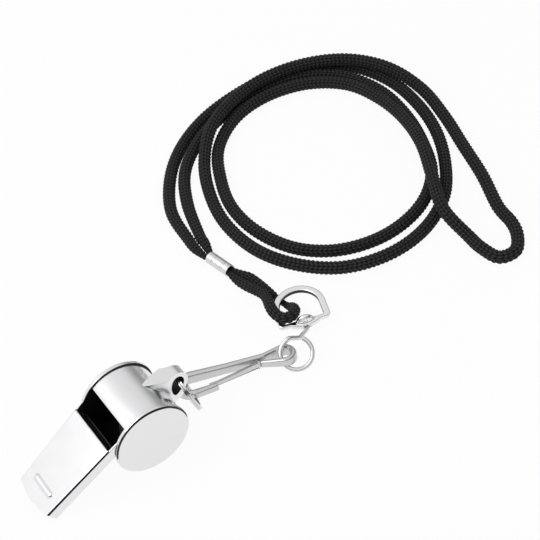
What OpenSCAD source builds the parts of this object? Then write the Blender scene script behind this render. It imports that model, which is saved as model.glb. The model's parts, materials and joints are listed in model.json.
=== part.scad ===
// Sports whistle of bent sheet steel on a neck cord, lying on a flat surface.
// X runs from the mouthpiece to the back, Y from the near side cap to the far one, Z is up.
// The origin is under the middle of the whistle and its ring, on the surface they lie on.

/* [Whistle] */
// Outer radius of the barrel's bent wall
barrel_r = 10; // [9.6:0.1:11]
// Width of the whistle over both side caps
whistle_w = 19.2; // [17:0.2:24]
// Thickness of the steel sheet
sheet = 0.5; // [0.4:0.05:0.6]
// Reach of the mouthpiece's tip ahead of the barrel's axis
tip_reach = 31.9; // [27:0.1:40]
// Height of the mouthpiece's top face above the barrel's axis
top_h = 9.5; // [9.2:0.1:9.9]
// Outer height of the mouthpiece
mouth_h = 3.4; // [3:0.1:4]
// Width of the mouthpiece at its tip, less than at the window
mouth_tip_w = 14.7; // [12:0.1:16]
// How far the mouthpiece is narrower than the whistle at the window
mouth_inset = 1.9; // [1.8:0.1:2.6]
// How far the tip's edge bows out in the middle
tip_bow = 1.2; // [0.4:0.1:2]
// Distance from the barrel's axis forward to the end of the mouthpiece's top
window_front = 8.1; // [7.6:0.1:8.8]
// Distance from the barrel's axis forward to the lip
window_back = 1.4; // [0.8:0.1:2.4]
// Height of the windway's slit above its floor
windway_h = 0.8; // [0.5:0.05:1]
// Width of the rim that each side cap folds over the barrel
cap_rim = 1.3; // [0.9:0.1:1.6]
// Diameter of the cork pea
pea_d = 9.6; // [8:0.1:11]

/* [Ear and ring] */
// Radius of the ear's rounded end
ear_r = 3.5; // [3.3:0.1:4.2]
// Distance from the barrel's axis to the ear's hole, past the barrel's wall
ear_stand = 3.4; // [3:0.1:4.5]
// Diameter of the ear's hole
ear_hole_d = 4.6; // [4.2:0.1:5]
// Thickness of the ear at its rounded end
ear_tip_w = 3; // [2:0.1:3.6]
// Outer diameter of the split ring
ring_d = 13.2; // [12:0.1:14.5]
// Radial width of the split ring's coils
ring_wire = 1; // [0.8:0.1:1.1]
// Thickness of each of the split ring's two coils
ring_coil = 0.55; // [0.4:0.05:0.6]

/* [Clip] */
// Height of the clip's bent bar
clip_h = 2.6; // [1.8:0.1:2.6]
// Thickness of the bar round the hook
hook_t = 1.4; // [1:0.1:1.5]
// Radius of the hook's bend, at the middle of the bar
hook_r = 3.6; // [3.5:0.1:4]
// Distance from the middle of the hook's bend to the middle of the clip's eye
clip_reach = 25.6; // [24:0.1:29]
// Radius of the clip's eye, at the middle of the strip
eye_r = 2.6; // [2.5:0.1:3.2]
// Thickness of the strip round the eye
eye_t = 0.8; // [0.6:0.05:0.9]
// Thickness of the spring tongue
tongue_t = 0.6; // [0.4:0.05:0.8]

/* [Swivel and loop] */
// Diameter of the swivel's wire
swivel_wire = 1; // [1:0.05:1.3]
// Radius of the swivel's round eye, at the middle of the wire
swivel_r = 4.3; // [4:0.1:4.6]
// Height of the D loop's bar
loop_h = 1.4; // [1:0.1:1.6]
// Width of the D loop's bar
loop_t = 1.8; // [1.2:0.1:2]
// Thickness of the D loop's flat base
loop_base_t = 1; // [0.8:0.1:1.2]
// Width of the D loop, outside
loop_w = 14.6; // [13:0.1:16]
// Depth of the D loop, outside
loop_depth = 13.2; // [12:0.1:14.5]

/* [Cord] */
// Diameter of the knitted cord
cord_d = 3.3; // [3:0.1:3.3]
// Outer diameter of the crimped ferrule
ferrule_d = 3.6; // [3.5:0.1:4]
// Length of the crimped ferrule
ferrule_len = 8.2; // [7:0.1:10]

/* [Hidden] */
$fn = 96;

// Thin seam between soldered sheets, and how far a cut runs past what it cuts
seam = 0.03;
over = 1;

// Angle at which the whistle rests on its barrel and on the mouthpiece's tip
rim_r = barrel_r + sheet;
mouth_low = top_h - mouth_h;
tilt = atan2(mouth_low, tip_reach) + asin(rim_r / norm([tip_reach, mouth_low]));

// Plan of the mouthpiece: half widths, taper, bowed tip
mouth_back_half = (whistle_w - mouth_inset) / 2;
mouth_tip_half = mouth_tip_w / 2;
mouth_len = tip_reach - tip_bow - window_front;
taper = atan2(mouth_back_half - mouth_tip_half, mouth_len);
tip_arc_r = (mouth_tip_half * mouth_tip_half + tip_bow * tip_bow) / (2 * tip_bow);
mouth_fold_r = 1.2 * sheet;
// Hem at the window's end, edge beside the window, bite rib near the tip
hem_len = 2.5;
side_edge_drop = 0.3;
rib_len = 8.6;
rib_w = 2;
rib_h = 0.5;
rib_from_tip = 4.8;

// Barrel wall: lip, front of the window, floor of the windway
lip_angle = acos(-window_back / barrel_r);
front_angle = 147;
root_angle = 2;
root_share = 0.8;
floor_end_x = -window_front - sheet;
floor_end_z = top_h - 2 * sheet - windway_h;
strip_gap = 0.2;
wall_half = whistle_w / 2 - sheet - seam;
strip_half = whistle_w / 2 - cap_rim - seam;
lip_bevel_angle = 3;

// Side caps
cap_edge_r = 0.6;

// Ear, in the plane across the barrel: axis angle, root angle, flare to the sides
ear_angle = -9.5;
ear_root_angle = 44.5;
ear_reach = barrel_r + ear_stand;
ear_flare_r = 9;
ear_half_w = 3.5;
ear_half_h = 7.3;

// Ring: hangs in the ear's hole and leans, with the middle of its top at ring_top
ring_slide_share = 0.47;
ring_slide_angle = -11;
ring_lean = 16;
ring_yaw = -6.6;
ring_mid = (ring_d - ring_wire) / 2;
ring_bevel = 0.12;
ring_end_gap = 0.3;
ring_end_angle = 140;
ring_end_step = 8;
pea_gap = 0.35;

function swing(a) = [cos(a), 0, sin(a)];
ear_hole = ear_reach * swing(tilt + ear_angle) + [0, 0, rim_r];
ring_top = ear_hole + ring_slide_share * ear_hole_d / 2 * swing(ring_slide_angle);
ring_mid_at = ring_top + ring_mid * [sin(ring_lean), 0, -cos(ring_lean)];
ring_turn = [0, 90 - ring_lean, ring_yaw];

// Middle of the whistle and ring along X, which the origin lies under
box_front = -(tip_reach * cos(tilt) + top_h * sin(tilt));
ring_back = ring_mid_at[0] + ring_d / 2 * norm([sin(ring_lean), cos(ring_lean) * sin(ring_yaw)])
    + ring_coil * cos(ring_lean) * cos(ring_yaw);
box_mid_x = (box_front + ring_back) / 2;

// Clip: turned about X, Y and Z, with the ring's wire resting in its hook
clip_turn = [-12, 3.4, -14];
clip_on_ring_angle = 217;
hook_wire_share = 0.39;
wire_in_hook = [-hook_wire_share * hook_r, 0];
nose_len = 5.8;
nose_rise = 0.35;
arm_end = 19;
arm_fall = 2;
eye_bend_r = 3;
knuckle_r = 0.4;
knuckle_gap = 0.06;
tongue_h = 2;
tongue_bend = [6.8, -2.05];
tongue_tip = [4, -2.2];
tail_len = 6.1;
step_slope = 12;
eye_to = -111;
nose_t_share = 0.75;
nose_h_share = 0.66;
arm_h_share = 0.84;
tail_h_share = 0.74;
tongue_tip_share = 0.75;
knuckle_h_share = 1.02;
bar_edge_share = 0.32;
function nose_y(x) = nose_rise / nose_len * x - hook_r / cos(nose_slope);
function arm_y(x) = hook_r / cos(arm_slope) - arm_fall / arm_end * x;
nose_slope = atan2(nose_rise, nose_len);
arm_slope = atan2(arm_fall, arm_end);
eye_in = [clip_reach - eye_r * sin(step_slope), eye_r * cos(step_slope)];
step_run = (eye_in[1] - arm_y(eye_in[0])) / (sin(step_slope) + tan(arm_slope) * cos(step_slope));
step_corner = eye_in - step_run * [cos(step_slope), sin(step_slope)];
step_at = step_corner + eye_bend_r / cos((arm_slope + step_slope) / 2)
    * [-sin((step_slope - arm_slope) / 2), cos((step_slope - arm_slope) / 2)];
tail_way = [sin(eye_to), -cos(eye_to)];
tail_end = [clip_reach, 0] + eye_r * [cos(eye_to), sin(eye_to)] + tail_len * tail_way;
tongue_root = tail_end + (knuckle_r + knuckle_gap) * tail_way;
tongue_way = atan2(tongue_bend[1] - tongue_root[1], tongue_bend[0] - tongue_root[0]);
tongue_tip_way = atan2(tongue_tip[1] - tongue_bend[1], tongue_tip[0] - tongue_bend[0]);
tongue_tip_h = tongue_tip_share * tongue_h;
tongue_stations = [
    [tongue_root[0], tongue_root[1], tongue_way, tongue_t, tongue_h],
    [tongue_bend[0], tongue_bend[1], tongue_way, tongue_t, blend(tongue_h, tongue_tip_h, 0.8)],
    [tongue_tip[0], tongue_tip[1], tongue_tip_way, tongue_t, tongue_tip_h]];

function turned(v, t) =
    let (a = [v[0], v[1] * cos(t[0]) - v[2] * sin(t[0]), v[1] * sin(t[0]) + v[2] * cos(t[0])])
    let (b = [a[0] * cos(t[1]) + a[2] * sin(t[1]), a[1], a[2] * cos(t[1]) - a[0] * sin(t[1])])
    [b[0] * cos(t[2]) - b[1] * sin(t[2]), b[0] * sin(t[2]) + b[1] * cos(t[2]), b[2]];

ring_touch = ring_mid_at
    + ring_mid * turned([-cos(clip_on_ring_angle), -sin(clip_on_ring_angle), 0], ring_turn);
clip_at = ring_touch - turned([wire_in_hook[0], wire_in_hook[1], 0], clip_turn);
clip_eye_at = clip_at + turned([clip_reach, 0, 0], clip_turn);

// Swivel: a round eye linked with the clip's eye, then a stepped shank with a head
swivel_turn = [31, -20, 0];
swivel_from_eye = [2.9, -1.6, 0.33];
swivel_at = clip_eye_at + swivel_from_eye;
swivel_arc = 294;
swivel_lead = 1.2;
swivel_step = [3.5, 3.3, 0.6];
shank_out = 2.4;
swivel_start = 90;
swivel_bend_r = 1.2;
swivel_skin_share = 0.985;
head_r = 0.9;
head_t = 0.7;
head_dome_r = (head_r * head_r + head_t * head_t / 4) / head_t;

// D loop: heading and slope of its axis, and the middle of its base from the swivel's eye
loop_turn = [0, 0, -19];
loop_from_swivel = [8.1, 7.7, -0.33];
loop_at = swivel_at + loop_from_swivel;
loop_corner_r = 1.2;
loop_mid = loop_depth - loop_w / 2 - loop_base_t / 2;
boss_r = 2.6;
boss_h = 0.8;
shank_gap = 0.06;
head_from = loop_base_t / 2 + shank_gap;
loop_way = turned([0, 1, 0], loop_turn);
function swivel_point(a) = swivel_at + swivel_r * turned([cos(a), sin(a), 0], swivel_turn);
swivel_line = [for (k = [0 : 35]) swivel_point(swivel_start + swivel_arc * (1 - k / 36)),
    each rounded_line([swivel_point(swivel_start),
        swivel_point(swivel_start) + turned([swivel_lead, 0, 0], swivel_turn),
        swivel_at + swivel_step, loop_at - shank_out * loop_way, loop_at], swivel_bend_r, 6)];

// Cord: half of its two ends is squeezed in the ferrule, which lies on its side
ferrule_at = [55.4, 36.4, 1.8];
ferrule_heading = -79;
ferrule_wall = 0.3;
ferrule_seam = 0.2;
crimp_r = 0.6;
crimp_depth = 0.12;
crimp_share = 0.22;
cord_sides = 8;
cord_r_shares = [0.44, 0.44, 0.62, 0.92];
// Points that the knitted cord follows, from the ferrule round the whole loop and back
lanyard_route = [
    [54.7, 36.3, 1.8], [53.9, 40.3, 1.8], [53.5, 42.7, 1.7], [53.2, 46.2, 1.7], [53.5, 50, 1.7],
    [55.5, 63, 1.7], [62.5, 75, 1.7], [72, 84, 1.7], [84, 90, 1.7], [97.5, 92.5, 1.7],
    [110.5, 92, 1.7], [123, 87.5, 1.7], [132.5, 78, 1.7], [137, 65.5, 1.7], [137, 52, 1.7],
    [134, 39, 1.7], [128, 27, 1.7], [119.5, 16.5, 1.7], [108, 10, 1.7], [95, 8.5, 1.7],
    [82, 12.5, 1.7], [72.5, 21.5, 1.7], [66.5, 33.5, 1.7], [65, 47, 1.8], [67.5, 60, 1.8],
    [73, 72, 3.2], [82, 81.5, 5.5], [94, 87.5, 5.4], [107, 89, 5.5], [120, 86, 5.4],
    [131, 78.5, 5.5], [138, 67, 5.4], [141, 54.5, 3.3], [139.5, 41.5, 1.9], [136, 28.5, 1.8],
    [132.5, 15.5, 1.8], [128, 3, 1.8], [127, -4, 1.8], [125, -9, 1.8], [121, -13, 1.8],
    [116, -12, 1.9], [114.5, -6.5, 2], [114.5, -1, 2.1], [114, 10, 5.2], [119.5, 22, 5.8],
    [125, 34, 5.8], [128, 46.5, 5.2], [128.5, 59.5, 3.9], [125.5, 72, 2.8], [116.5, 81, 2.4],
    [104, 85, 2.2], [91.5, 83.5, 2], [80.5, 76, 1.9], [74, 65, 1.8], [70, 52.5, 1.8],
    [70.5, 39.5, 1.7], [75.5, 27, 1.7], [85, 18.5, 1.7], [98, 15, 1.7], [111.5, 17.5, 1.7],
    [122, 25.5, 1.7], [128, 37.5, 1.7], [131.5, 50.5, 1.7], [132, 64, 1.7], [127.5, 76.5, 1.7],
    [117.5, 85.5, 1.7], [104, 88.5, 1.7], [90.5, 87.5, 1.7], [78, 83, 1.7], [67.5, 74.5, 1.7],
    [61, 63, 1.7], [57, 50, 1.7], [56.4, 46.2, 1.7], [55.7, 42.7, 1.7], [55.3, 40.5, 1.8],
    [56.1, 36.5, 1.8]];
// The short bight through the D loop, with the cord's radius at each point
bight_route = [
    [56.1, 36.5, 1.8], [56.9, 32.5, 1.8], [57.9, 29.9, 1.7], [59.1, 27, 1.65], [59.7, 24, 1.6],
    [60.1, 21, 1.5], [60.5, 18, 1.35], [61, 15.8, 1.05], [61.4, 13.6, 0.95], [61.7, 11.6, 1.3],
    [61.7, 9.2, 2.9], [60.9, 6.7, 4.5], [58.6, 5.1, 5.4], [56.4, 6, 5.6], [55.8, 8.8, 5.6],
    [56.3, 11.6, 5.4], [57.3, 14.6, 4.6], [57.9, 17.6, 3.7], [57.4, 20.8, 2.9], [56.6, 24, 2.3],
    [56, 27.2, 1.9], [55.6, 29.9, 1.8], [55.5, 32.3, 1.8], [54.7, 36.3, 1.8]];
bight_r_shares = [0.44, 0.44, 0.64, 0.88, 0.88, 0.88, 0.79, 0.58, 0.52, 0.64, 0.91, 0.97,
    0.97, 0.97, 0.97, 0.97, 0.91, 0.91, 0.88, 0.88, 0.85, 0.64, 0.44, 0.44];
function cord_r(i, last) = let (near = min(i, last - i))
    cord_d / 2 * (near < len(cord_r_shares) ? cord_r_shares[near] : 1);

module world() translate([-box_mid_x, 0, 0]) children();
module whistle_pose() translate([-box_mid_x, 0, rim_r]) rotate([0, -tilt, 0]) children();
module across(width) rotate([90, 0, 0]) linear_extrude(width, center = true) children();
module along(length) rotate([90, 0, 90]) linear_extrude(length) children();

function on(r, a) = r * [cos(a), sin(a)];
function unit(v) = v / norm(v);

// Square whose upper right corner is rounded, with that corner's sides on the axes
module corner_block(w, h, r) {
    translate([-w, 0]) square([w - r, h]);
    translate([-w, 0]) square([w, h - r]);
    translate([-r, h - r]) circle(r);
}

module bar_section(t, h, r) {
    square([t - 2 * r, h], center = true);
    square([t, h - 2 * r], center = true);
    for (x = [-1, 1], y = [-1, 1]) translate([x * (t / 2 - r), y * (h / 2 - r)]) circle(r, $fn = 32);
}

// Points of a line whose corners are rounded to a radius r with n steps
function turn_at(p, i) = acos(unit(p[i] - p[i - 1]) * unit(p[i + 1] - p[i]));
function rounded_corner(p, i, r, n) =
    let (into = unit(p[i] - p[i - 1]), out = unit(p[i + 1] - p[i]), turn = turn_at(p, i))
    let (inward = unit(out - (into * out) * into), start = p[i] - r * tan(turn / 2) * into)
    [for (k = [0 : n]) start + r * (inward * (1 - cos(turn * k / n)) + into * sin(turn * k / n))];
function rounded_line(p, r, n) = [p[0], each [for (i = [1 : len(p) - 2]) each rounded_corner(p, i, r, n)],
    p[len(p) - 1]];

// One closed skin over rings of points that all have the same count
module skin(rings) {
    n = len(rings[0]);
    last = len(rings) - 1;
    polyhedron([for (ring = rings) each ring], [
        [for (k = [0 : n - 1]) n - 1 - k],
        [for (k = [0 : n - 1]) last * n + k],
        for (i = [0 : last - 1], k = [0 : n - 1]) each [
            [i * n + k, i * n + (k + 1) % n, (i + 1) * n + (k + 1) % n],
            [i * n + k, (i + 1) * n + (k + 1) % n, (i + 1) * n + k]]]);
}

// Round tube along points, with its own radius at each and its rings turned by up
function way_at(p, i) = unit(p[min(i + 1, len(p) - 1)] - p[max(i - 1, 0)]);
function tube_rings(p, r, sides, up) = [for (i = [0 : len(p) - 1])
    let (way = way_at(p, i), side = unit(cross(way, up)), top = cross(side, way))
    [for (k = [0 : sides - 1]) let (a = 360 * (k + 0.5) / sides) p[i] + r[i] * (cos(a) * side + sin(a) * top)]];

// Flat bar along stations of x, y, heading, thickness and height, with rounded edges
function bar_ring(s) = let (edge = bar_edge_share * s[3])
    [for (corner = [180 : 90 : 450], k = [0 : 2])
        let (u = sign(cos(corner + 45)) * (s[3] / 2 - edge) + edge * cos(corner + 45 * k),
            z = sign(sin(corner + 45)) * (s[4] / 2 - edge) + edge * sin(corner + 45 * k))
        [s[0] + u * sin(s[2]), s[1] - u * cos(s[2]), z]];
function blend(a, b, f) = a + (b - a) * f;
function arc_stations(at, r, from, to, n, t, h) = [for (k = [0 : n]) let (a = blend(from, to, k / n))
    [at[0] + r * cos(a), at[1] + r * sin(a), a + sign(to - from) * 90, blend(t[0], t[1], k / n),
        blend(h[0], h[1], k / n)]];

function mouth_half(x) = mouth_back_half + (x + window_front) * tan(taper);

module mouth_plan(front, back, inset) polygon([
    [front, -mouth_half(front) + inset], [back, -mouth_half(back) + inset],
    [back, mouth_half(back) - inset], [front, mouth_half(front) - inset]]);

module tip_bow_shape(recess) translate([-tip_reach + tip_arc_r + recess, 0, 0])
    cylinder(r = tip_arc_r, h = 2 * rim_r, $fn = 256);

// Round wall of the barrel, open from the lip to the front of the window
module wall_outline() difference() {
    circle(barrel_r);
    circle(barrel_r - sheet);
    polygon([[0, 0], on(barrel_r - 2 * sheet, lip_angle), on(barrel_r + over, lip_angle - lip_bevel_angle),
        on(2 * barrel_r, (lip_angle + front_angle) / 2), on(2 * barrel_r, front_angle)]);
}

// The same strip, folded forward as the floor of the windway
module floor_outline() polygon([
    [-tip_reach, mouth_low], [-tip_reach, mouth_low + sheet], [floor_end_x, floor_end_z],
    on(barrel_r - root_share * sheet, front_angle + root_angle),
    on(barrel_r - sheet / 2, front_angle + root_angle + lip_bevel_angle),
    [floor_end_x - sheet, floor_end_z - sheet]]);

module barrel_wrap() color("silver") whistle_pose() {
    across(2 * wall_half) wall_outline();
    intersection() {
        across(2 * strip_half) floor_outline();
        linear_extrude(2 * rim_r) mouth_plan(-tip_reach - over, 0, (sheet + strip_gap) / cos(taper));
        tip_bow_shape(sheet);
    }
}

module cover_section() difference() {
    translate([0, mouth_low]) corner_block(mouth_back_half + over, mouth_h, mouth_fold_r);
    translate([-sheet, mouth_low - over])
        corner_block(mouth_back_half + over, mouth_h + over - sheet, mouth_fold_r - sheet);
}

module cover_half() intersection() {
    translate([-window_front, mouth_back_half, 0]) rotate([0, 0, taper])
        translate([window_front - tip_reach - over, 0, 0]) along(tip_reach + over) cover_section();
    translate([-2 * tip_reach, 0, 0]) cube([2 * tip_reach, whistle_w, 2 * rim_r]);
}

module hem_outline() {
    translate([-window_front - hem_len, top_h - 2 * sheet]) square([hem_len - sheet, sheet]);
    intersection() {
        translate([-window_front - sheet, top_h - sheet]) circle(sheet);
        translate([-window_front - sheet, top_h - 2 * sheet]) square([sheet, 2 * sheet]);
    }
}

module bite_rib() {
    rib_r = (rib_w * rib_w / 4 + rib_h * rib_h) / (2 * rib_h);
    rib_half = (rib_len - rib_w) / 2;
    translate([-tip_reach + rib_from_tip, 0, 0]) intersection() {
        translate([0, 0, top_h + rib_h - rib_r]) union() {
            rotate([90, 0, 0]) cylinder(r = rib_r, h = 2 * rib_half, center = true);
            for (side = [-1, 1]) translate([0, side * rib_half, 0]) sphere(rib_r);
        }
        translate([-rib_w, -rib_len, top_h - sheet / 2]) cube([2 * rib_w, 2 * rib_len, rib_w]);
    }
}

module mouthpiece_cover() color("silver") whistle_pose() {
    difference() {
        intersection() {
            union() {
                cover_half();
                mirror([0, 1, 0]) cover_half();
            }
            tip_bow_shape(0);
        }
        rotate([90, 0, 0]) cylinder(r = rim_r + seam, h = 2 * whistle_w, center = true);
        translate([0, 0, mouth_low]) linear_extrude(2 * mouth_h)
            mouth_plan(-window_front - sheet, 0, sheet / cos(taper));
        translate([-window_front, -whistle_w, top_h - side_edge_drop])
            cube([window_front, 2 * whistle_w, mouth_h]);
    }
    intersection() {
        across(whistle_w) hem_outline();
        linear_extrude(2 * rim_r) mouth_plan(-tip_reach, 0, (sheet + seam) / cos(taper));
    }
    bite_rib();
}

module side_cap() rotate_extrude() difference() {
    translate([rim_r, 0]) corner_block(rim_r, cap_rim, cap_edge_r);
    square([barrel_r + seam, cap_rim - sheet]);
}

module side_cap_far() color("silver") whistle_pose()
    translate([0, whistle_w / 2 - cap_rim, 0]) rotate([-90, 0, 0]) side_cap();

module side_cap_near() color("silver") whistle_pose()
    translate([0, cap_rim - whistle_w / 2, 0]) rotate([90, 0, 0]) side_cap();

// Ear: a side outline, a plan that flares to the barrel and a lens seen from behind, in common
module ear_side() {
    root = on(barrel_r, ear_root_angle);
    reach = [ear_reach, 0] - root;
    slope = atan2(reach[1], reach[0]) + asin(ear_r / norm(reach));
    touch = [ear_reach, 0] + ear_r * [-sin(slope), cos(slope)];
    translate([ear_reach, 0]) circle(ear_r);
    polygon([[0, 0], [root[0], -root[1]], [touch[0], -touch[1]], touch, root]);
}

module ear_plan() difference() {
    translate([0, -barrel_r]) square([ear_reach + ear_r + over, 2 * barrel_r]);
    for (side = [-1, 1]) translate([ear_reach + ear_r, side * (ear_tip_w / 2 + ear_flare_r)])
        circle(ear_flare_r);
}

module ear_back() {
    lens_r = (ear_half_h * ear_half_h + ear_half_w * ear_half_w) / (2 * ear_half_w);
    intersection_for(side = [-1, 1]) translate([side * (lens_r - ear_half_w), 0]) circle(lens_r);
}

module ear() color("gainsboro") whistle_pose() rotate([0, -ear_angle, 0]) difference() {
    intersection() {
        across(whistle_w) ear_side();
        translate([0, 0, -rim_r]) linear_extrude(2 * rim_r) ear_plan();
        along(ear_reach + ear_r + over) ear_back();
    }
    rotate([90, 0, 0]) cylinder(r = barrel_r + seam, h = 2 * whistle_w, center = true);
    translate([ear_reach, 0, 0]) rotate([90, 0, 0])
        cylinder(d = ear_hole_d, h = whistle_w, center = true);
}

// The pea lies at the bottom of the barrel
module pea() color("peru") world() translate([0, 0, pea_d / 2 + rim_r - barrel_r + sheet + pea_gap])
    sphere(d = pea_d);

// Split ring: two flat coils on each other, each with the end of the wire in it
module split_ring() color("lightgray") world() translate(ring_mid_at)
    rotate(ring_turn) for (side = [-1, 1]) difference() {
        rotate_extrude() translate([ring_mid, side * ring_coil / 2])
            bar_section(ring_wire, ring_coil, ring_bevel);
        rotate([0, 0, ring_end_angle + side * ring_end_step])
            translate([0, -ring_end_gap / 2, side < 0 ? -2 * ring_coil : 0])
            cube([ring_d, ring_end_gap, 2 * ring_coil]);
    }

module clip_pose() world() translate(clip_at) rotate(clip_turn) children();

// Clip: one bar bent to a hook, drawn thin along the arm and rolled into the eye
clip_stations = [
    [nose_len, nose_y(nose_len), 180 + nose_slope, nose_t_share * hook_t, nose_h_share * clip_h],
    each arc_stations([0, 0], hook_r, nose_slope - 90, -270 - arm_slope, 24,
        [hook_t, hook_t], [nose_h_share * clip_h, clip_h]),
    [arm_end / 2, arm_y(arm_end / 2), -arm_slope, blend(hook_t, eye_t, 0.5), arm_h_share * clip_h],
    each arc_stations(step_at, eye_bend_r, -90 - arm_slope, step_slope - 90, 3,
        [eye_t, eye_t], [clip_h, clip_h]),
    each arc_stations([clip_reach, 0], eye_r, 90 + step_slope, eye_to, 24,
        [eye_t, eye_t], [clip_h, tail_h_share * clip_h]),
    [tail_end[0], tail_end[1], eye_to - 90, eye_t, tail_h_share * clip_h]];

module clip_hook() color("lightgray") clip_pose() skin([for (s = clip_stations) bar_ring(s)]);

module clip_gate() color("gainsboro") clip_pose() {
    translate(tongue_root) cylinder(r = knuckle_r, h = knuckle_h_share * tongue_h, center = true);
    skin([for (s = tongue_stations) bar_ring(s)]);
}

// Swivel: an open round eye, a step to the shank and a domed head inside the D loop
module swivel_eye() color("lightgray") world() {
    skin(tube_rings(swivel_line, [for (p = swivel_line) swivel_skin_share * swivel_wire / 2], 12,
        turned([0, 0, 1], swivel_turn)));
    translate(loop_at) rotate(loop_turn) {
        rotate([90, 0, 0]) translate([0, 0, -head_from - head_t / 2])
            cylinder(d = swivel_wire, h = head_from + head_t / 2 + shank_out);
        translate([0, head_from, 0]) rotate([-90, 0, 0]) {
            cylinder(r = head_r, h = head_t / 2);
            translate([0, 0, head_t / 2]) intersection() {
                translate([0, 0, head_t / 2 - head_dome_r]) sphere(head_dome_r);
                cylinder(r = head_r, h = head_t);
            }
        }
    }
}

// D loop: a bar bent round, with a thin flat base that has the shank's hole in a domed boss
module loop_outline(r, corner, base) {
    translate([0, loop_mid]) circle(r);
    for (side = [-1, 1]) translate([side * (r - corner), base + corner]) circle(corner);
    translate([-r, base + corner]) square([2 * r, loop_mid - base - corner]);
    translate([corner - r, base]) square([2 * (r - corner), corner]);
}

module d_ring() color("silver") world() translate(loop_at) rotate(loop_turn) difference() {
    boss_dome_r = (boss_r * boss_r + boss_h * boss_h) / (2 * boss_h);
    union() {
        translate([0, 0, -loop_h / 2]) linear_extrude(loop_h) difference() {
            loop_outline(loop_w / 2, loop_corner_r, -loop_base_t / 2);
            loop_outline(loop_w / 2 - loop_t, loop_corner_r / 2, loop_base_t / 2);
        }
        rotate([90, 0, 0]) cylinder(r = boss_r, h = loop_base_t, center = true);
        intersection() {
            translate([0, boss_dome_r - boss_h - loop_base_t / 2, 0]) sphere(boss_dome_r);
            translate([0, -loop_base_t / 2, 0]) rotate([90, 0, 0]) cylinder(r = boss_r, h = 2 * boss_h);
        }
    }
    rotate([90, 0, 0]) cylinder(d = swivel_wire + 2 * shank_gap, h = 4 * boss_r, center = true);
}

// Ferrule: a sheet rolled round both ends of the cord, with its seam below and two crimped grooves
module ferrule() color("silver") translate(ferrule_at) rotate([90, 0, 90 + ferrule_heading])
    difference() {
        cylinder(d = ferrule_d, h = ferrule_len, center = true);
        cylinder(r = ferrule_d / 2 - ferrule_wall, h = 2 * ferrule_len, center = true);
        translate([-ferrule_seam / 2, -ferrule_d, -ferrule_len])
            cube([ferrule_seam, ferrule_d, 2 * ferrule_len]);
        for (side = [-1, 1]) translate([0, 0, side * crimp_share * ferrule_len]) rotate_extrude()
            translate([ferrule_d / 2 + crimp_r - crimp_depth, 0]) circle(crimp_r, $fn = 32);
    }

module cord_bight() color("dimgray") skin(tube_rings(bight_route,
    [for (share = bight_r_shares) share * cord_d / 2], cord_sides, [0, 0, 1]));

module lanyard_cord() color("dimgray") skin(tube_rings(lanyard_route,
    [for (i = [0 : len(lanyard_route) - 1]) cord_r(i, len(lanyard_route) - 1)], cord_sides, [0, 0, 1]));

barrel_wrap();
mouthpiece_cover();
side_cap_near();
side_cap_far();
ear();
pea();
split_ring();
clip_hook();
clip_gate();
swivel_eye();
d_ring();
ferrule();
cord_bight();
lanyard_cord();
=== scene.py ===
"""Sports whistle on a knitted neck cord: finishes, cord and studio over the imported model."""
import json
from math import pi, radians

import bmesh
import bpy
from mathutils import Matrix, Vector, noise
from mathutils.bvhtree import BVHTree


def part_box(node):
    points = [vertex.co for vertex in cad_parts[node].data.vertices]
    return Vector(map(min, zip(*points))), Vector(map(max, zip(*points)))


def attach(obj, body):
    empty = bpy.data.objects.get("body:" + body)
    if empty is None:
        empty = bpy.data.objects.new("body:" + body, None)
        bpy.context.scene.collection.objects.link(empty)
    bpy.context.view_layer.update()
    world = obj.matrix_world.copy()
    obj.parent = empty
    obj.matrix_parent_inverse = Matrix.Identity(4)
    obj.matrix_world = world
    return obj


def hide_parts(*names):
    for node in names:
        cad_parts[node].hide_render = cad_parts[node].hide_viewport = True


bl_info = {
    "name": "Whistle and neck cord",
    "version": (1, 0, 0),
    "blender": (4, 5, 0),
    "location": "3D View > Sidebar > Whistle",
    "description": "Finishes a steel sports whistle, its clip and its knitted neck cord",
    "category": "Object",
}

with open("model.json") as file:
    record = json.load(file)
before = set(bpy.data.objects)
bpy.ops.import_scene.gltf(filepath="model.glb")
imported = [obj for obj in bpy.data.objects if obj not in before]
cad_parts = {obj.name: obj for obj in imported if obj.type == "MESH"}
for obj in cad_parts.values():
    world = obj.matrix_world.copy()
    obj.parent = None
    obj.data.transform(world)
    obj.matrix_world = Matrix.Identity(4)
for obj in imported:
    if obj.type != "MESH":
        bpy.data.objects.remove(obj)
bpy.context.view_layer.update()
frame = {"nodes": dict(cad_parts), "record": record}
MM = 0.001
MERGE = 0.001 * MM          # points nearer than this are one point
FLAT = radians(0.3)         # faces that turn less than this are one face
ROUND_STEPS = 3             # segments in each rounded edge
ROUTE_STEPS = 6             # points on the cord between two points of its route
STITCH_LEAN = 0.55          # how far a stitch's legs lean along the cord
ROWS_PER_STITCH = 3.0
SIDES_PER_WALE = 4.0

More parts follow.
